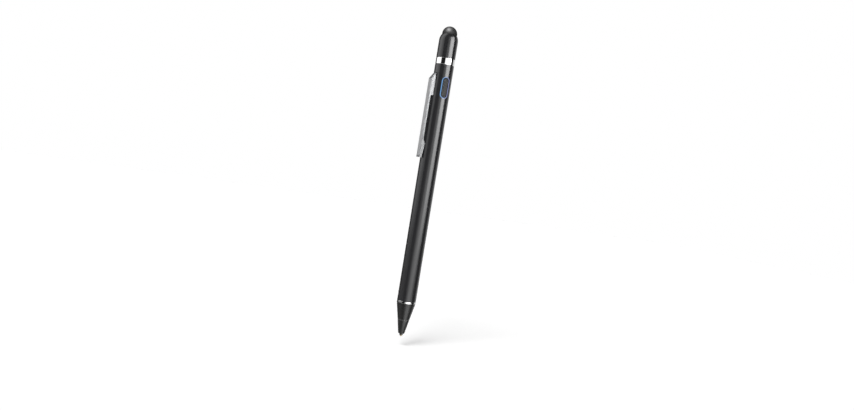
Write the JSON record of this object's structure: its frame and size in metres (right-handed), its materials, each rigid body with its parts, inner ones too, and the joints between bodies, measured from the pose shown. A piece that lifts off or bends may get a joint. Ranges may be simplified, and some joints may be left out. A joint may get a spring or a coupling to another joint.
{
  "type": "stylus pen",
  "caption": "Slim black active stylus with a tapered screw-off tip, a copper nib, a side button in a light ring, a pocket clip and a pull-off cap with a rubber dome.",
  "frame": {"origin": "on the pen's axis at the barrel's lower rim, where the grip cone's ring meets it", "axes": "+Z along the axis from the nib to the rubber dome, -Y the way the power button faces, -X the way the pocket clip faces"},
  "size_m": [0.0121, 0.01, 0.1644],
  "materials": {
    "black_anodised": "satin black anodised",
    "bright_chrome": "polished",
    "cone_black": "satin",
    "collar_black": "satin",
    "button_grey": "satin",
    "light_guide": "clear, lit blue from behind",
    "satin_steel": "satin",
    "nickel_sheet": "plated",
    "copper_tip": "polished copper alloy",
    "brass": "turned",
    "dome_rubber": "satin conductive rubber",
    "board_green": "solder mask",
    "chip_black": "moulded",
    "ceramic_tan": "fired ceramic",
    "battery_sleeve": "shrink sleeve",
    "foam": "closed cell foam",
    "carrier_grey": "moulded",
    "lead_red": "insulated wire",
    "led_clear": "clear",
    "white_plastic": "moulded"
  },
  "bodies": {
    "barrel": {"barrel": "black_anodised", "nose_ring": "bright_chrome", "grip_cone": "cone_black", "tip_socket": "brass", "battery_cell": "battery_sleeve", "battery_tabs": "nickel_sheet", "battery_pad": "foam", "drive_lead": "lead_red", "circuit_board": "board_green", "board_carrier": "carrier_grey", "control_chip": "chip_black", "boost_inductor": "chip_black", "board_passives": "ceramic_tan", "status_leds": "led_clear", "switch_body": "chip_black", "light_ring": "light_guide", "top_ring": "bright_chrome", "charging_collar": "collar_black", "usb_shell": "nickel_sheet", "usb_tongue": "chip_black", "usb_contacts": "brass"},
    "nib_holder": {"nib": "copper_tip", "nib_collar": "collar_black"},
    "tip_cone": {"tip_cone": "cone_black"},
    "power_button": {"button_cap": "button_grey", "switch_plunger": "white_plastic"},
    "pocket_clip": {"clip": "satin_steel"},
    "cap": {"cap_shell": "black_anodised", "dome_core": "white_plastic", "dome_nut": "nickel_sheet", "rubber_dome": "dome_rubber"}
  },
  "joints": [
    {"name": "tip_advance", "type": "slide", "parent": "barrel", "child": "nib_holder", "axis": [0, 0, -1], "range_m": [0, 0.0035]},
    {"name": "tip_unscrew", "type": "hinge", "parent": "nib_holder", "child": "tip_cone", "pos_m": [0, 0, -0.0101], "axis": [0, 0, -1], "range_deg": [0, 1800]},
    {"name": "button_press", "type": "slide", "parent": "barrel", "child": "power_button", "axis": [0, 1, 0], "range_m": [0, 0.0003], "stiffness_N_per_m": 5000},
    {"name": "clip_flex", "type": "hinge", "parent": "barrel", "child": "pocket_clip", "pos_m": [-0.0047, 0, 0.11921], "axis": [0, 1, 0], "range_deg": [0, 3], "stiffness_Nm_per_rad": 2},
    {"name": "cap_pull", "type": "slide", "parent": "barrel", "child": "cap", "axis": [0, 0, 1], "range_m": [0, 0.008]}
  ],
  "couplings": [
    {"joint": "tip_unscrew", "follows": "tip_advance", "rad_per_m": 8976}
  ]
}
